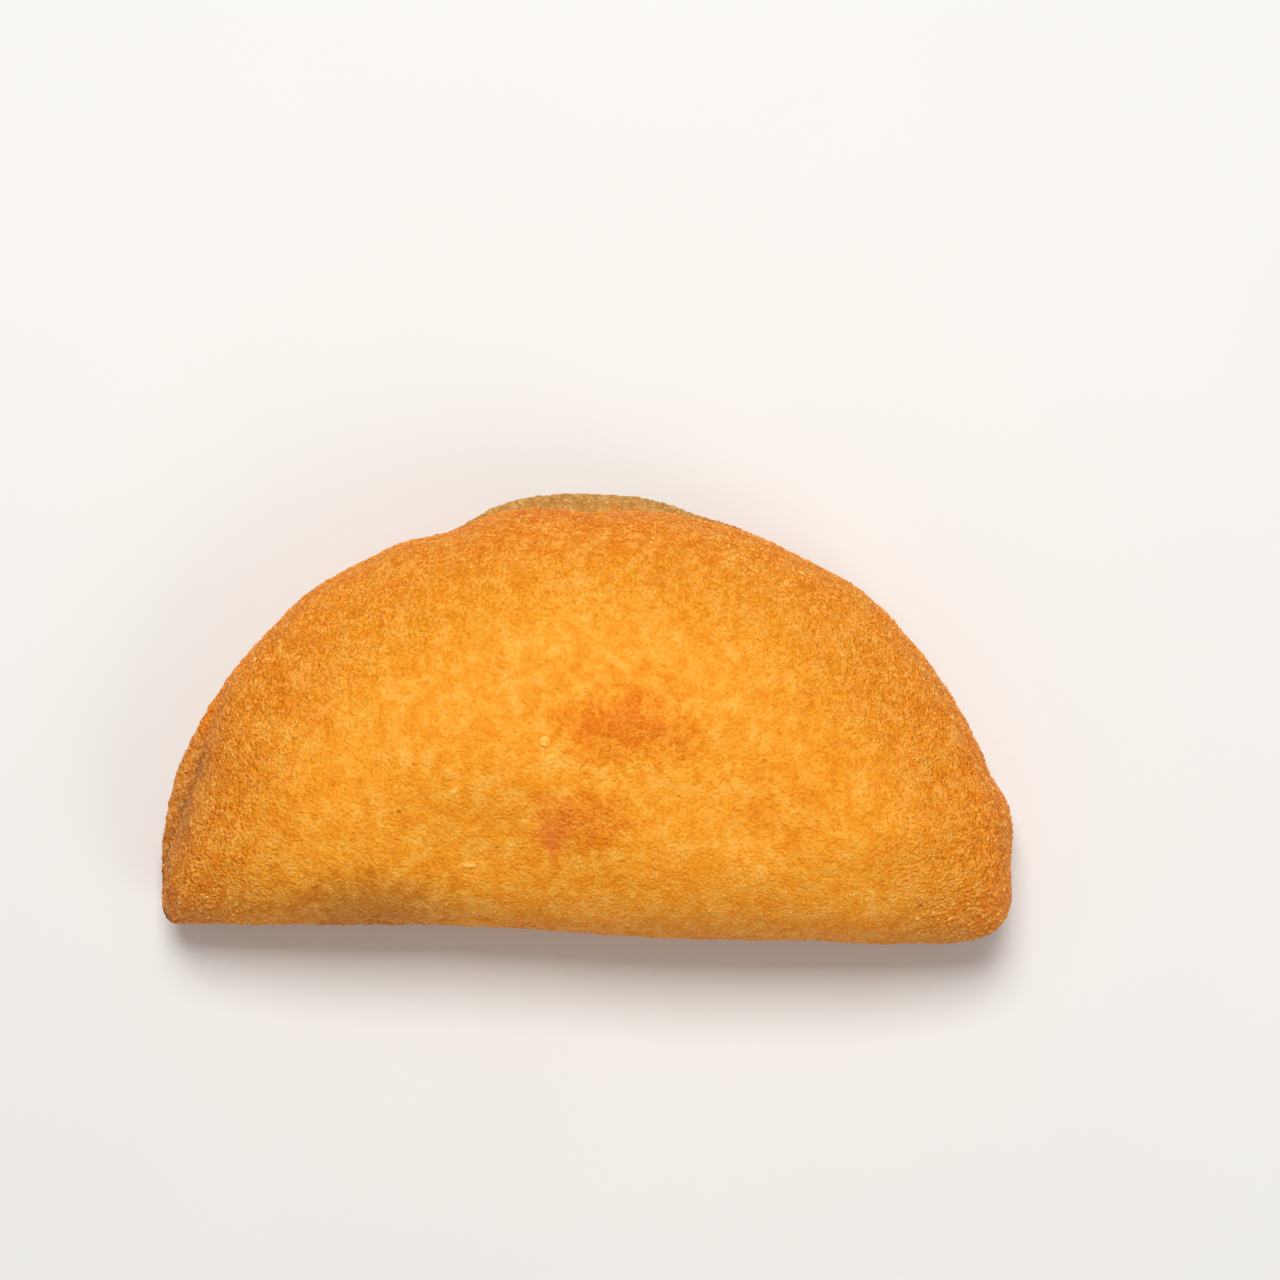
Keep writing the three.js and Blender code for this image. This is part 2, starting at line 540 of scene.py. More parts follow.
        # the patches add to both
        blush = unfried = painted_shade_share = 0.0
        for patch in self.patches:
            share = self.spot(paint, patch, 0.6 * flecks + 0.4 * middling)
            toast_and_painted_light = toast_and_painted_light + share * patch.toast_and_painted_light
            if patch.amber:
                film = film - share * patch.amber
            if patch.blush:
                blush = blush + share * patch.blush
            if patch.dough:
                unfried = unfried + share * patch.dough
            if patch.painted_shade:
                painted_shade_share = painted_shade_share + share * patch.painted_shade
        # painted shade in the pinholes, and through the stored charring painted shade along the
        # crease, both as extra browning
        toast_and_painted_light = toast_and_painted_light + 0.3 * self.pits(paint) + paint.own("scorch")
        coat = paint.mix(paint.ramp(0.8 * film, FILM), paint.ramp(toast_and_painted_light, TOAST), 1.0, "MULTIPLY")
        coat = paint.mix(coat, SALMON, blush)
        # painted shade: the crumb's hollows and its fine unevenness darken the coat, together with
        # each grain's own tone
        coat = paint.mix(coat, PAINTED_CRUMB_SHADE_AND_TONE, painted_shade_and_tone + 0.6 * (0.5 - fine) * bare, "MULTIPLY")
        # painted shade over the patches at the left end, along its crease and at the lower left
        coat = paint.mix(coat, PAINTED_SHADE_TINT, painted_shade_share, "MULTIPLY")
        # the crumb's thin edges turn pale: partly their own colour, partly a painted highlight
        coat = paint.mix(coat, PALE_CURL_AND_HIGHLIGHT, 0.55 * self.curls(paint) * bare)
        return paint.mix(coat, self.dough(paint, lift), self.bare_lip(paint) + unfried)

    def dough(self, paint: Paint, lift: Number) -> bpy.types.NodeSocket:
        """The colour of dough that hardly fried.

        Args:
            paint: the material that it goes into.
            lift: how much paler than the crust this surface is.

        Returns:
            The colour's socket.
        """
        mottle = paint.clouds(0.9, 83.0, detail=3.0, rough=0.65) - 0.5 * lift
        return paint.ramp(mottle, DOUGH)

    def bare_lip(self, paint: Paint) -> Level:
        """Where the lower layer's lip shows: it stayed paler and greyer than the rest."""
        x, y, z = paint.axes()
        ragged = paint.clouds(2.4, 41.0, detail=4.0)
        below = (z + 3.0 * (ragged - 0.5)).ease(9.0, 7.4)
        above = (z + 4.0 * (ragged - 0.5)).ease(0.6, 4.0)
        middle = ((x * x) ** 0.5 + 9.0 * (ragged - 0.5)).ease(19.0, 9.0)
        return below * above * middle * (y - self.heart).ease(39.5, 42.5) * 0.95


@dataclass(frozen=True)
class CrustFinish:
    """The skin between the single grains: fine crumb pressed into a film of egg and oil.

    Attributes:
        browning: the coat's colours.
        grain: the width of the finest packed crumb, in millimetres.
        relief: the height of that crumb, in millimetres.
    """

    browning: Browning
    grain: float = 0.38
    relief: float = 0.26

    def material(self) -> bpy.types.Material:
        """Makes the crust's material."""
        paint = Paint("fried_crust")
        bare = self.browning.bare(paint)
        reach, own = paint.grains(self.grain, 5.0)
        grit = paint.clouds(0.32, 31.0, detail=1.0, rough=0.6)
        # painted shade: darker in the hollows between packed crumb, plus a random tone from cell to
        # cell
        shaded_hollow = (0.8 * reach + 1.4 * (grit - 0.5)).ease(0.15, 0.75)
        painted_shade_and_tone = (1.2 * shaded_hollow + 0.6 * own) * (0.3 + 0.7 * bare)
        colour = self.browning.colour(paint, bare, 0.12 * (own - 0.5) + 0.04, painted_shade_and_tone)
        crumb = ((1 - reach) * 0.5 + grit * 0.7) * (0.5 + 1.3 * bare)
        crumb = crumb + 0.12 * self.browning.curls(paint) * bare - 0.8 * self.browning.pits(paint)
        oil = paint.clouds(4.0, 17.0, detail=2.0)
        rough = 0.5 + 0.22 * oil + 0.1 * (own - 0.5)
        return paint.finish(colour, rough, crumb, self.relief, gloss=0.14, under=0.08)


@dataclass(frozen=True)
class GrainFinish:
    """The fried crumb of one roast.

    Attributes:
        browning: the coat's colours, which its grains follow.
        roast: how far its grains are from the crust's own colour.
    """

    browning: Browning
    roast: Roast

    def material(self) -> bpy.types.Material:
        """Makes this roast's material."""
        paint = Paint(f"{self.roast.name.lower()}_crumb")
        tone, bare = paint.own("tone"), self.browning.bare(paint)
        lift = self.roast.value * bare + 0.3 * (tone - 0.5)
        colour = self.browning.colour(paint, bare, lift, 0.8 * (1 - tone) * (0.25 + 0.75 * bare))
        grit = paint.clouds(0.18, 7.0, detail=2.0)
        rough = 0.42 + 0.24 * grit
        return paint.finish(colour, rough, grit, 0.03, gloss=0.18, under=0.08)


@dataclass(frozen=True)
class FloorFinish:
    """A plain pale matt floor."""

    def material(self) -> bpy.types.Material:
        """Makes the floor's material."""
        paint = Paint("pale_floor")
        mottle = paint.clouds(60.0, 2.0, detail=2.0)
        colour = paint.mix(shade(226, 224, 220), shade(232, 230, 226), mottle)
        return paint.finish(colour, 0.9, gloss=0.2)


def deselect_all() -> None:
    """Leaves object mode's selection empty."""
    bpy.ops.object.select_all(action="DESELECT")


def take_up(piece: bpy.types.Object) -> None:
    """Selects one piece alone and makes it the active one."""
    deselect_all()
    piece.select_set(True)
    bpy.context.view_layer.objects.active = piece


def corners(piece: bpy.types.Object) -> np.ndarray:
    """A piece's vertices as rows of x, y and z."""
    flat = np.empty(3 * len(piece.data.vertices))
    piece.data.vertices.foreach_get("co", flat)
    return flat.reshape(-1, 3)


def bell(distance: np.ndarray, spread: float) -> np.ndarray:
    """A bell curve, 1 where the distance is 0."""
    return np.exp(-((distance / spread) ** 2))


@dataclass(frozen=True)
class LipStretch:
    """A stretch of the sealed edge where the lower layer's lip shows.

    Attributes:
        at: its middle, in degrees round the folded disc's middle from +X.
        width: how far the upper layer is set back there, in millimetres.
        spread: how far the stretch reaches, in degrees.
        crease: how dark and deep the line between the layers is, from 0 to 1.
    """

    at: float
    width: float
    spread: float
    crease: float


@dataclass(frozen=True)
class Scorch:
    """A place that the hot oil charred, in millimetres.

    Attributes:
        x: its middle.
        y: its middle.
        z: its middle.
        reach: how far it reaches.
        depth: how much it browned.
    """

    x: float
    y: float
    z: float
    reach: float
    depth: float


@dataclass(frozen=True)
class Relief:
    """One scale of the crust's relief, in millimetres.

    Attributes:
        name: the texture's name.
        kind: the texture's type.
        size: its wavelength.
        height: its full height.
        rimward: whether it is stronger towards the rim.
    """

    name: str
    kind: str
    size: float
    height: float
    rimward: bool


@dataclass
class Crust:
    """The parcel's skin, from the folded edge to the sealed one.

    Attributes:
        finish: its finish.
        heart: where the folded disc's middle lies along Y, in millimetres.
        scorches: the places that charred.
        voxel: the fineness of its mesh, in millimetres. At 0.36 it stays under 200,000 triangles.
        crown: the height where the relief is at its weakest, in millimetres.
        crown_relief: how much of the relief is left there.
        sealed_from: how far from the folded disc's middle the sealed border starts.
        seam_height: the height of the line between the two layers, in millimetres.
        seam_width: that line's half-width.
        seam_depth: how deep it is pressed.
        lips: where the lower layer's lip shows.
        lip_least: how wide the lip is everywhere else.
        crease_width: the half-width of the line behind the lip.
        crease_depth: how deep that line is pressed.
        reliefs: the scales of its low relief.
    """

    finish: CrustFinish
    heart: float
    scorches: tuple[Scorch, ...]
    voxel: float = 0.36
    crown: float = 20.0
    crown_relief: float = 0.35
    sealed_from: float = 40.0
    seam_height: float = 8.0
    seam_width: float = 0.6
    seam_depth: float = 0.55
    lips: tuple[LipStretch, ...] = (
        LipStretch(90.0, 2.0, 13.0, 0.25),
        LipStretch(160.0, 2.1, 9.5, 1.0),
    )
    lip_least: float = 0.4
    crease_width: float = 0.55
    crease_depth: float = 0.4
    reliefs: tuple[Relief, ...] = (
        Relief("dough_swell", "CLOUDS", 7.0, 0.34, False),
        Relief("crumb_drift", "CLOUDS", 2.2, 0.24, True),
        Relief("coarse_crumb", "VORONOI", 0.95, 0.2, True),
    )

    def build(self) -> bpy.types.Object:
        """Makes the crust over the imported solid, and dresses it.

        Returns:
            The finished piece.
        """
        crust = self._copy_of_solid()
        self._refine(crust)
        self._weigh(crust)
        self._press_seam(crust)
        self._press_crease(crust)
        for relief in self.reliefs:
            self._raise(crust, relief)
        self._seat(crust)
        crust.data.materials.clear()
        crust.data.materials.append(self.finish.material())
        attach(crust, "root")
        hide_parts("rissole")
        return crust

    def _copy_of_solid(self) -> bpy.types.Object:
        """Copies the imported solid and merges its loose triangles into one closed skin."""
        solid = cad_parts["rissole"]
        crust = bpy.data.objects.new("crust", solid.data.copy())
        bpy.context.scene.collection.objects.link(crust)
        take_up(crust)
        bpy.ops.object.mode_set(mode="EDIT")
        bpy.ops.mesh.select_all(action="SELECT")
        bpy.ops.mesh.remove_doubles(threshold=0.002 * MM)
        bpy.ops.mesh.tris_convert_to_quads()
        bpy.ops.object.mode_set(mode="OBJECT")
        return crust

    def _refine(self, crust: bpy.types.Object) -> None:
        """Rounds the solid's facets and gives the skin an even, fine mesh.

        Args:
            crust: the merged copy.
        """
        rounding = crust.modifiers.new("rounding", "SUBSURF")
        rounding.levels = rounding.render_levels = 2
        even = crust.modifiers.new("even", "REMESH")
        even.mode = "VOXEL"
        even.voxel_size = self.voxel * MM
        even.use_smooth_shade = True
        soften = crust.modifiers.new("soften", "SMOOTH")
        soften.factor = 0.5
        soften.iterations = 3
        take_up(crust)
        for modifier in [m.name for m in crust.modifiers]:
            bpy.ops.object.modifier_apply(modifier=modifier)

    @staticmethod
    def _mark(crust: bpy.types.Object, name: str, weights: np.ndarray) -> None:
        """Stores one weight for each vertex as a vertex group, in fine steps.

        Args:
            crust: the skin.
            name: the group's name.
            weights: the weights, from 0 to 1.
        """
        group = crust.vertex_groups.new(name=name)
        steps = np.rint(weights * 40).astype(int)
        for step in range(1, 41):
            members = np.flatnonzero(steps == step)
            if len(members):
                group.add(members.tolist(), step / 40, "REPLACE")

    def _weigh(self, crust: bpy.types.Object) -> None:
        """Marks how strongly each part of the skin takes relief.

        Args:
            crust: the refined skin.
        """
        height = corners(crust)[:, 2] / MM
        self._mark(crust, "rimward", np.clip((self.crown - height) / 11.0, self.crown_relief, 1.0))

    def _press_seam(self, crust: bpy.types.Object) -> None:
        """Presses in the line where the two layers of dough were sealed.

        Args:
            crust: the skin, before its relief.
        """
        x, y, z = (corners(crust) / MM).T
        outwards = np.hypot(x, y - self.heart)
        sealed = np.clip((outwards - self.sealed_from) / 2.5, 0, 1)
        wander = 0.5 * np.sin(x / 5.0) + 0.3 * np.sin(x / 2.1 + y / 3.0)
        faint = 0.55 + 0.45 * np.sin(x / 7.0 + 1.0) * np.sin(y / 6.0)
        line = bell(z - self.seam_height - wander, self.seam_width)
        self._press(crust, "seam", np.clip(line * sealed * faint, 0, 1), self.seam_depth)

    def _press_crease(self, crust: bpy.types.Object) -> None:
        """Presses in the line behind the lip, and notes where the frying charred the skin, with
        painted shade along that line.

        Args:
            crust: the skin, before its relief.
        """
        x, y, z = (corners(crust) / MM).T
        angle = np.degrees(np.arctan2(y - self.heart, x))
        outwards = np.hypot(x, y - self.heart)
        bearings = np.arange(1, 180)
        outline = [outwards[np.abs(angle - bearing) < 1].max() for bearing in bearings]
        inset = np.interp(angle, bearings, outline) - outwards
        width = self.lip_least + sum(lip.width * bell(angle - lip.at, lip.spread) for lip in self.lips)
        shown = sum(lip.crease * bell(angle - lip.at, 1.3 * lip.spread) for lip in self.lips)
        wander = 0.22 * np.sin(angle * 1.9) + 0.16 * np.sin(angle * 4.3 + 1.0)
        broken = 0.7 + 0.3 * np.sin(angle * 3.1) * np.sin(angle * 1.3 + 0.6)
        line = bell(inset - width - wander, self.crease_width) * shown * broken * (z > 5.0)
        line = np.clip(line, 0, 1)
        self._press(crust, "crease", line, self.crease_depth)
        # painted shade along the crease, stored with the charring as extra browning
        scorch = 0.3 * line
        for mark in self.scorches:
            away = np.sqrt((x - mark.x) ** 2 + (y - mark.y) ** 2 + (z - mark.z) ** 2)
            scorch = scorch + mark.depth * bell(away, mark.reach)
        note = crust.data.attributes.new("scorch", "FLOAT", "POINT")
        note.data.foreach_set("value", scorch.astype(np.float32))

    def _press(self, crust: bpy.types.Object, name: str, weights: np.ndarray, depth: float) -> None:
        """Presses a line into the skin.

        Args:
            crust: the skin.
            name: the line's name.
            weights: how strongly each vertex is pressed, from 0 to 1.
            depth: how deep 1 is, in millimetres.
        """
        self._mark(crust, name, weights)
        press = crust.modifiers.new(name, "DISPLACE")
        press.vertex_group = name
        press.mid_level = 0.0
        press.strength = -depth * MM
        take_up(crust)
        bpy.ops.object.modifier_apply(modifier=press.name)

    def _raise(self, crust: bpy.types.Object, relief: Relief) -> None:
        """Raises and sinks the skin by one scale of relief.

        Args:
            crust: the skin.
            relief: the scale.
        """
        texture = bpy.data.textures.new(relief.name, relief.kind)
        texture.noise_scale = relief.size * MM
        push = crust.modifiers.new(relief.name, "DISPLACE")
        push.texture = texture
        push.texture_coords = "LOCAL"
        push.mid_level = 0.5
        push.strength = relief.height * MM
        if relief.rimward:
            push.vertex_group = "rimward"
        take_up(crust)
        bpy.ops.object.modifier_apply(modifier=push.name)

    def _seat(self, crust: bpy.types.Object) -> None:
        """Keeps the skin above the plane that it rests on.

        Args:
            crust: the skin.
        """
        places = corners(crust)
        places[:, 2] = np.maximum(places[:, 2], 0.0)
        crust.data.vertices.foreach_set("co", places.ravel())
        crust.data.update()


@dataclass
class CrumbCoat:
    """The single grains of one roast that stand out of the crust.

    Attributes:
        name: the piece's name.
        finish: their finish.
        mould: what a grain is broken from.
        count: how many there are.
        smallest: the smallest grain's width, in millimetres.
        largest: the largest grain's width, in millimetres.
        rimward: how much denser they lie towards the rim than on the crown.
        seed: makes them the same each time.
        shapes: how many different grains are shaped.
        crown_less: how much smaller the grains on the crown are.
        crown: the height from which the crust counts as crown, in millimetres.
        small_bias: how much commoner small grains are; 1 is an even spread of widths.
        clearance: how far above the crust's flat rest the grains are cut off, in millimetres.
    """

    name: str
    finish: GrainFinish
    mould: Mould
    count: int
    smallest: float
    largest: float
    rimward: float
    seed: int
    shapes: int = 6
    crown_less: float = 0.3
    crown: float = 19.0
    small_bias: float = 2.2
    clearance: float = 0.01

    def build(self, crust: bpy.types.Object) -> bpy.types.Object:
        """Scatters the grains over the crust, as one mesh, and dresses them.

        Args:
            crust: the finished crust.

        Returns:
            The finished piece.
        """
        random = np.random.default_rng(self.seed)
        moulds = [self._mould(number) for number in range(self.shapes)]
        points, normals, scorch = self._spots(crust, random)
        chance = random.random(self.count) ** self.small_bias
        widths = self.smallest + (self.largest - self.smallest) * chance
        widths = widths * (1 - self.crown_less * np.clip((points[:, 2] / MM - 15.0) / 6.0, 0, 1))
        vertices, faces = [], []
        for place, normal, width in zip(points, normals, widths):
            shape, triangles = moulds[random.integers(self.shapes)]
            grain = self._settle(shape, place, normal, width, random)
            faces.append(triangles + len(vertices) * len(shape))
            vertices.append(grain)
        mesh = bpy.data.meshes.new(self.name)
        mesh.from_pydata(np.concatenate(vertices).tolist(), [], np.concatenate(faces).tolist())
        for name, values in (("tone", random.random(self.count)), ("scorch", scorch)):
            note = mesh.attributes.new(name, "FLOAT", "POINT")
            each = np.repeat(values, len(moulds[0][0])).astype(np.float32)
            note.data.foreach_set("value", each)
        mesh.materials.append(self.finish.material())
        piece = bpy.data.objects.new(self.name, mesh)
        bpy.context.scene.collection.objects.link(piece)
        take_up(piece)
        bpy.ops.object.shade_smooth_by_angle(angle=math.radians(50))
        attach(piece, "root")
        return piece

    def _mould(self, number: int) -> tuple[np.ndarray, np.ndarray]:
        """Shapes one grain from a ball or a block that is broken out of true.

        Args:
            number: which of the grains it is.

        Returns:
            Its vertices, about one unit across, and its triangles.
        """
        deselect_all()
        if self.mould is Mould.CHIP:
            bpy.ops.mesh.primitive_cube_add(size=0.8)
        else:
            bpy.ops.mesh.primitive_ico_sphere_add(subdivisions=1, radius=0.5)
        grain = bpy.context.active_object
        bpy.ops.object.mode_set(mode="EDIT")
        bpy.ops.mesh.select_all(action="SELECT")
        bpy.ops.mesh.quads_convert_to_tris()
        bpy.ops.transform.vertex_random(offset=0.22, seed=self.seed * 10 + number)
        bpy.ops.transform.resize(value=self.mould.value)
        bpy.ops.object.mode_set(mode="OBJECT")
        shape = corners(grain)
        triangles = np.array([polygon.vertices[:] for polygon in grain.data.polygons])
        bpy.data.objects.remove(grain)
        return shape - shape.mean(axis=0), triangles

    def _spots(
        self, crust: bpy.types.Object, random: np.random.Generator
    ) -> tuple[np.ndarray, np.ndarray, np.ndarray]:
        """Chooses where the grains lie.

        Args:
            crust: the finished crust.
            random: the seeded source of chance.

        Returns:
            The grains' places, and the crust's normals and its charring and painted crease shade
            there.
        """
        mesh = crust.data
        mesh.calc_loop_triangles()
        ring = np.empty(3 * len(mesh.loop_triangles), dtype=np.int64)
        mesh.loop_triangles.foreach_get("vertices", ring)
        places = corners(crust)[ring.reshape(-1, 3)]
        across = np.cross(places[:, 1] - places[:, 0], places[:, 2] - places[:, 0])
        doubled = np.linalg.norm(across, axis=1)
        height = places[:, :, 2].mean(axis=1) / MM
        charred = np.empty(len(mesh.vertices), dtype=np.float32)
        mesh.attributes["scorch"].data.foreach_get("value", charred)
        charred = charred[ring.reshape(-1, 3)[:, 0]]
        likely = 1 + (self.rimward - 1) * np.clip((self.crown - height) / 10.0, 0, 1)
        rubbed_off = np.where(height < 1.0, 0.5, 1.0)
        likely = likely * rubbed_off * (1 - 0.8 * np.clip(4 * charred, 0, 1))
        weight = doubled * likely
        chosen = random.choice(len(weight), self.count, p=weight / weight.sum())
        first, second = random.random((2, self.count, 1))
        over = first + second > 1
        first, second = np.where(over, 1 - first, first), np.where(over, 1 - second, second)
        corner = places[chosen]
        spots = corner[:, 0] + first * (corner[:, 1] - corner[:, 0])
        spots = spots + second * (corner[:, 2] - corner[:, 0])
        return spots, across[chosen] / doubled[chosen, None], charred[chosen]

    def _settle(
        self,
        shape: np.ndarray,
        place: np.ndarray,
        normal: np.ndarray,
        width: float,
        random: np.random.Generator,
    ) -> np.ndarray:
        """Sets one grain into the crust.

        Args:
            shape: the grain's vertices, about one unit across.
            place: where it lies.
            normal: the crust's normal there.
            width: its width, in millimetres.
            random: the seeded source of chance.

        Returns:
            The grain's vertices in their place.
        """
        spin = random.random() * math.tau
        side = np.cross(normal, (math.cos(spin), math.sin(spin), 0.3))
        side = side / np.linalg.norm(side)
        third = np.cross(normal, side)
        stretch = 0.75 + 0.5 * random.random(3)
        scaled = shape * stretch * width * MM
        turned = scaled[:, :1] * side + scaled[:, 1:2] * third + scaled[:, 2:] * normal
        proud = 0.12 * random.random() - 0.05
        settled = place + turned + normal * proud * width * MM
        settled[:, 2] = np.maximum(settled[:, 2], self.clearance * stretch[2] * MM)
        return settled


@dataclass(frozen=True)
class Flake:
    """One crumb that is large enough to show by itself, in millimetres.

    Attributes:
        x: its middle, as seen from above.
        y: its middle.
        long: its length.
        wide: its width.
        turn: how far its length is turned from +X, in degrees.
        tone: how pale it is; 0.5 is the coat's own, and more than 1 is paler than any small crumb.
    """

    x: float
    y: float
    long: float
    wide: float
    turn: float
    tone: float


@dataclass
class LargeFlakes:
    """The few large flakes of crumb, pressed into the crust.

    Attributes:
        finish: their finish.
        flakes: the flakes.
        thick: how thick they are, as a share of their width.
        ragged: how uneven they are, in the same way.
    """

    finish: GrainFinish
    flakes: tuple[Flake, ...]
    thick: float = 0.3
    ragged: float = 0.24

    def build(self, crust: bpy.types.Object) -> bpy.types.Object:
        """Makes the flakes as one mesh and dresses them.

        Args:
            crust: the finished crust.

        Returns:
            The finished piece.
        """
        made = [self._flake(crust, flake, number) for number, flake in enumerate(self.flakes)]
        deselect_all()
        for part in made:
            part.select_set(True)
        bpy.context.view_layer.objects.active = made[0]
        bpy.ops.object.join()
        piece = made[0]
        piece.name = piece.data.name = "large_flakes"
        piece.data.materials.append(self.finish.material())
        bpy.ops.object.shade_smooth()
        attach(piece, "root")
        return piece

    def _flake(self, crust: bpy.types.Object, flake: Flake, number: int) -> bpy.types.Object:
        """Shapes one flake where it lies.

        Args:
            crust: the finished crust.
            flake: the flake.
            number: which of the flakes it is.

        Returns:
            The flake, with its place in its mesh.
        """
        above = Vector((flake.x * MM, flake.y * MM, 1.0))
        _, spot, normal, _ = crust.ray_cast(above, Vector((0, 0, -1)))
        lie = normal.to_track_quat("Z", "Y") @ Quaternion((0, 0, 1), math.radians(flake.turn))
        deselect_all()
        bpy.ops.mesh.primitive_ico_sphere_add(
            subdivisions=2,
            radius=0.5 * MM,
            location=spot,
            rotation=lie.to_euler(),
            scale=(flake.long, flake.wide, self.thick * flake.wide),
        )
        part = bpy.context.active_object
        bpy.ops.object.transform_apply(location=True, rotation=True, scale=True)
        bpy.ops.object.mode_set(mode="EDIT")
        bpy.ops.mesh.select_all(action="SELECT")
        bpy.ops.transform.vertex_random(offset=self.ragged * flake.wide * MM, seed=number)
        bpy.ops.mesh.subdivide(number_cuts=1, smoothness=0.8)
        bpy.ops.mesh.vertices_smooth(factor=0.5)
        bpy.ops.object.mode_set(mode="OBJECT")
        tone = part.data.attributes.new("tone", "FLOAT", "POINT")
        tone.data.foreach_set("value", np.full(len(part.data.vertices), flake.tone, np.float32))
        return part


@dataclass
class Studio:
    """The floor, the lights and the camera.

    Attributes:
        floor_size: the floor's side, in metres.
        lamp_size: each lamp's side, in metres.
        key: the key lamp's power, in watts.
        fill: the fill lamp's power, in watts.
        ambient: the strength of the light from all round.
        span: the width of what the camera shows at the parcel's mid-height, in metres.
        lens: the camera's focal length, in millimetres.
        elevation: the camera's height angle, in degrees.
        aim: the place that the camera looks at, in metres.
    """

    floor_size: float = 4.0
    lamp_size: float = 0.3
    key: float = 3.74
    fill: float = 0.64
    ambient: float = 0.335
    span: float = 0.1385
    lens: float = 80.0
    elevation: float = 85.0
    aim: tuple[float, float, float] = (0.0057, 0.0081, 0.008)

    def build(self) -> None:
        """Sets up the floor, the lights and the camera."""
        self._lay_floor()
        self._light_up()
        self._set_camera()

    def _lay_floor(self) -> None:
        """Lays the floor that the parcel rests on."""
        deselect_all()
        bpy.ops.mesh.primitive_plane_add(size=self.floor_size)
        floor = bpy.context.active_object
        floor.name = "floor"
        floor.data.materials.append(FloorFinish().material())

    def _light_up(self) -> None:
        """Hangs the lamps: a wide key from behind, and a weak fill from the front right."""
        self._lamp("key", (-0.02, 0.28, 0.6), self.key)
        self._lamp("fill", (0.34, -0.36, 0.42), self.fill)
        world = bpy.data.worlds.new("studio")
        world.use_nodes = True
        background = world.node_tree.nodes["Background"]
        background.inputs["Color"].default_value = (1.0, 0.99, 0.97, 1.0)
        background.inputs["Strength"].default_value = self.ambient
        bpy.context.scene.world = world
        bpy.context.scene.view_settings.view_transform = "Standard"

    def _lamp(self, name: str, place: tuple[float, float, float], watts: float) -> None:
        """Hangs one square lamp that faces the parcel.

        Args:
            name: the lamp's name.
            place: where it hangs, in metres.
            watts: its power.
        """
        lamp = bpy.data.lights.new(name, "AREA")
        lamp.energy = watts
        lamp.size = self.lamp_size
        holder = bpy.data.objects.new(name, lamp)
        holder.location = place
        inwards = Vector((0, 0, 0.01)) - Vector(place)
        holder.rotation_euler = inwards.to_track_quat("-Z", "Y").to_euler()
        bpy.context.scene.collection.objects.link(holder)

    def _set_camera(self) -> None:
        """Stands the camera above the front of the parcel and makes it the scene's own."""
        data = bpy.data.cameras.new("camera")
        data.lens = self.lens
        distance = self.span * data.lens / data.sensor_width
        tilt = math.radians(self.elevation)
        aim = Vector(self.aim)
        camera = bpy.data.objects.new("camera", data)
        camera.location = aim + distance * Vector((0, -math.cos(tilt), math.sin(tilt)))
        camera.rotation_euler = (math.radians(90) - tilt, 0, 0)
        bpy.context.scene.collection.objects.link(camera)
        bpy.context.scene.camera = camera


PATCHES = (
    # the amber spot above the middle, and its heart
    Patch(4.3, -2.0, 7.0, 4.6, toast_and_painted_light=0.22, amber=0.28),
    Patch(4.0, -2.4, 4.2, 2.8, toast_and_painted_light=0.08, amber=0.1),
    # the spot below it: its salmon half in two patches, then its amber half
    Patch(-3.1, -11.9, 2.3, 3.2, toast_and_painted_light=0.1, blush=0.42),
    Patch(-3.0, -13.6, 1.3, 1.6, toast_and_painted_light=0.08, blush=0.3),
    Patch(1.0, -11.9, 3.4, 3.3, toast_and_painted_light=0.2, amber=0.32),
    # the hardly fried lip at the left end, and painted shade along the crease beside it in three
    # lengths
    Patch(-44.0, -8.5, 3.5, 9.0, toast_and_painted_light=0.04, dough=0.3),
    Patch(-41.4, -5.4, 1.3, 2.4, toast_and_painted_light=0.06, painted_shade=0.4),
    Patch(-43.2, -9.9, 1.3, 3.2, toast_and_painted_light=0.06, painted_shade=0.4),
    Patch(-45.2, -15.6, 1.2, 4.2, toast_and_painted_light=0.06, painted_shade=0.4),
    # the browner rim at the top, the shoulder painted paler as painted light, and the dark place at
    # the lower left, browner and under painted shade
    Patch(1.0, 20.5, 20.0, 4.0, toast_and_painted_light=0.14),
    Patch(27.0, 10.0, 8.0, 8.0, toast_and_painted_light=-0.06),
    Patch(-22.7, -20.5, 9.0, 3.4, toast_and_painted_light=0.1, painted_shade=0.4),
    # the two ends, made darker; the left one is also under painted shade
    Patch(-46.0, -10.0, 12.0, 16.0, toast_and_painted_light=0.12, painted_shade=0.1),
    Patch(47.0, -9.0, 6.0, 14.0, toast_and_painted_light=0.14),
    # broad clouds on the crown: one amber, two pale
    Patch(23.0, -6.5, 6.0, 7.0, toast_and_painted_light=0.04, amber=0.08),
    Patch(-20.0, 6.0, 8.0, 6.0, toast_and_painted_light=-0.06),
    Patch(-4.0, 10.0, 13.0, 5.0, toast_and_painted_light=-0.06),
)

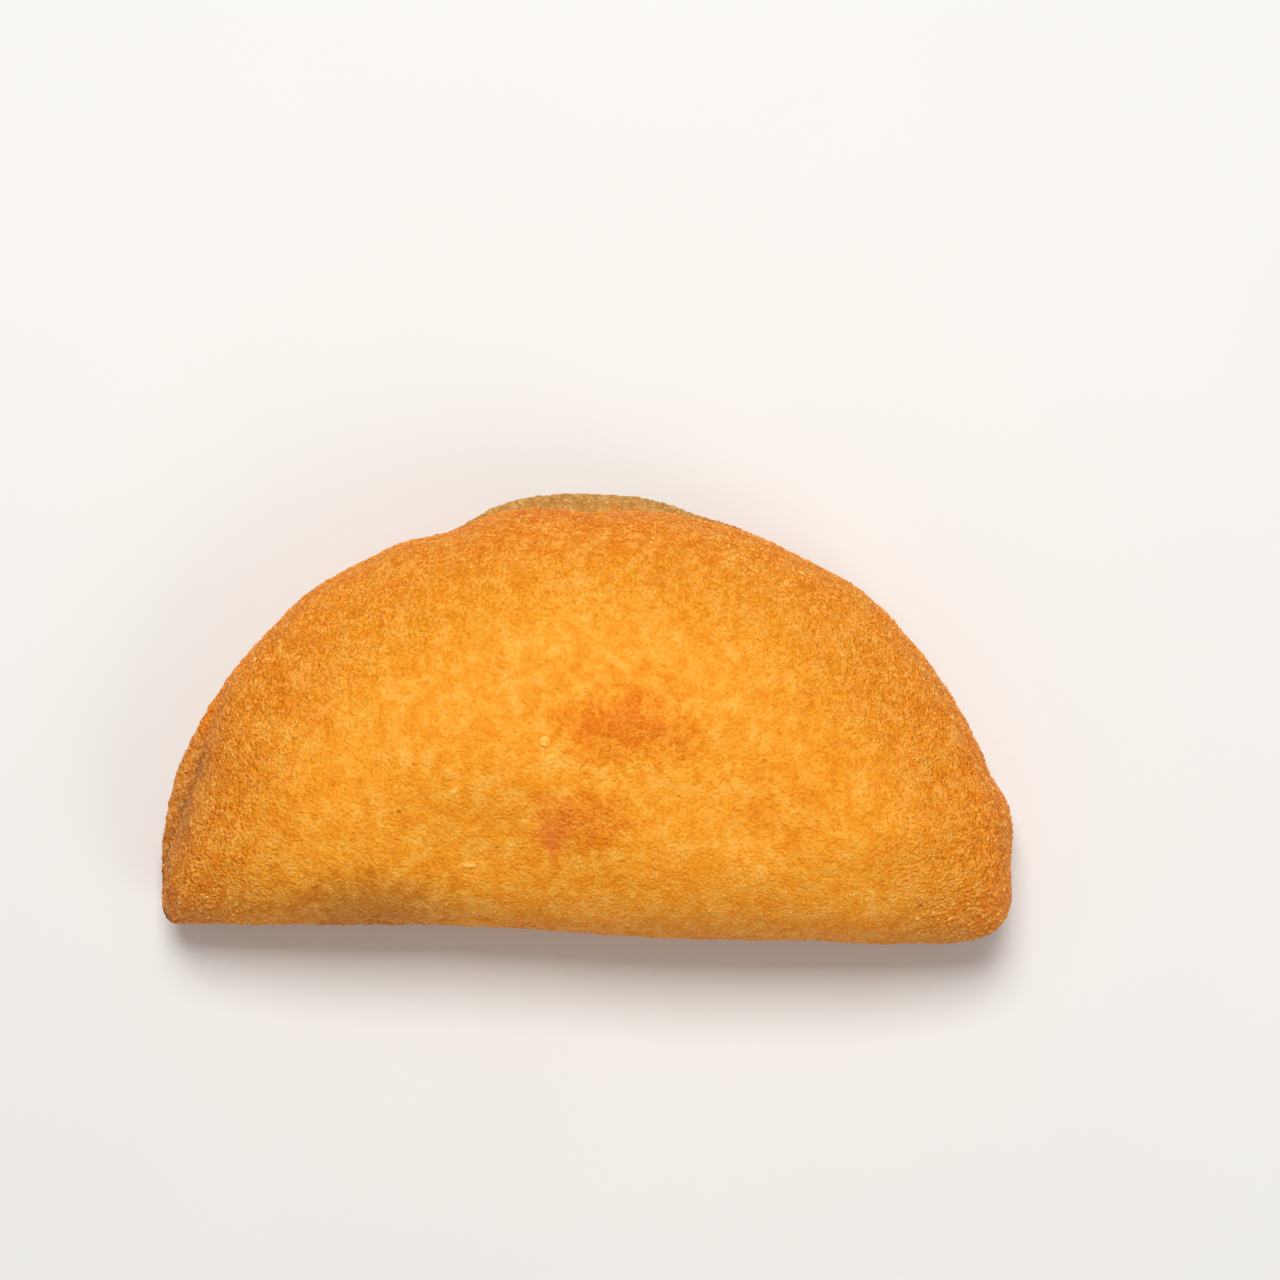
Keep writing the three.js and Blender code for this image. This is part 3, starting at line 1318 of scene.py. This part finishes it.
FLAKES = (
    # the palest, above the lower spot, with its two neighbours
    Flake(-4.1, -3.6, 1.2, 1.0, 80.0, 1.25),
    Flake(-4.3, -4.5, 0.6, 0.4, 100.0, 1.1),
    Flake(-3.6, -5.6, 1.6, 0.9, 60.0, 0.75),
    # the rest of the crown
    Flake(6.0, -0.6, 1.1, 0.9, 90.0, 0.8),
    Flake(-13.4, -8.7, 1.2, 0.7, 70.0, 0.95),
    Flake(-13.9, -6.8, 1.4, 0.6, 10.0, 0.8),
    Flake(-12.1, -16.2, 1.8, 0.8, 5.0, 0.8),
    Flake(1.5, -5.9, 0.5, 0.4, 0.0, 1.0),
    Flake(9.2, -4.2, 0.7, 0.4, 60.0, 1.0),
)


def report(piece: bpy.types.Object) -> None:
    """Logs a finished piece's triangles. A four-sided face counts as two."""
    piece.data.calc_loop_triangles()
    LOG.info("%s: %d triangles", piece.name, len(piece.data.loop_triangles))


def main() -> None:
    """Builds the crust, its crumb and the studio."""
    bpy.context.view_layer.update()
    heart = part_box("rissole")[0].y / MM + FOLD_STEP
    browning = Browning(PATCHES, heart)
    scorches = (
        Scorch(-45.7, -21.9, 6.0, reach=0.7, depth=0.9),
        Scorch(-41.0, heart + 18.2, 9.0, reach=0.35, depth=0.6),
    )
    crust = Crust(CrustFinish(browning), heart, scorches).build()
    report(crust)
    golden, pale = GrainFinish(browning, Roast.GOLDEN), GrainFinish(browning, Roast.PALE)
    toasted = GrainFinish(browning, Roast.TOASTED)
    coats = (  # each with its count, smallest and largest width, rimwardness and seed
        CrumbCoat("fine_crumbs", golden, Mould.CHIP, 16000, 0.18, 0.4, 3.0, 14),
        CrumbCoat("golden_crumbs", golden, Mould.BALL, 7000, 0.24, 0.5, 3.6, 11),
        CrumbCoat("toasted_crumbs", toasted, Mould.BALL, 3000, 0.22, 0.46, 3.6, 12),
        CrumbCoat("pale_crumbs", pale, Mould.BALL, 3500, 0.2, 0.45, 5.0, 13),
        CrumbCoat("curled_crumbs", pale, Mould.FLAKE, 3000, 0.22, 0.5, 10.0, 15),
    )
    for coat in coats:
        report(coat.build(crust))
    report(LargeFlakes(pale, FLAKES).build(crust))
    Studio().build()


if __name__ == "__main__":
    logging.basicConfig(level=logging.INFO, format="%(name)s: %(message)s")
    main()
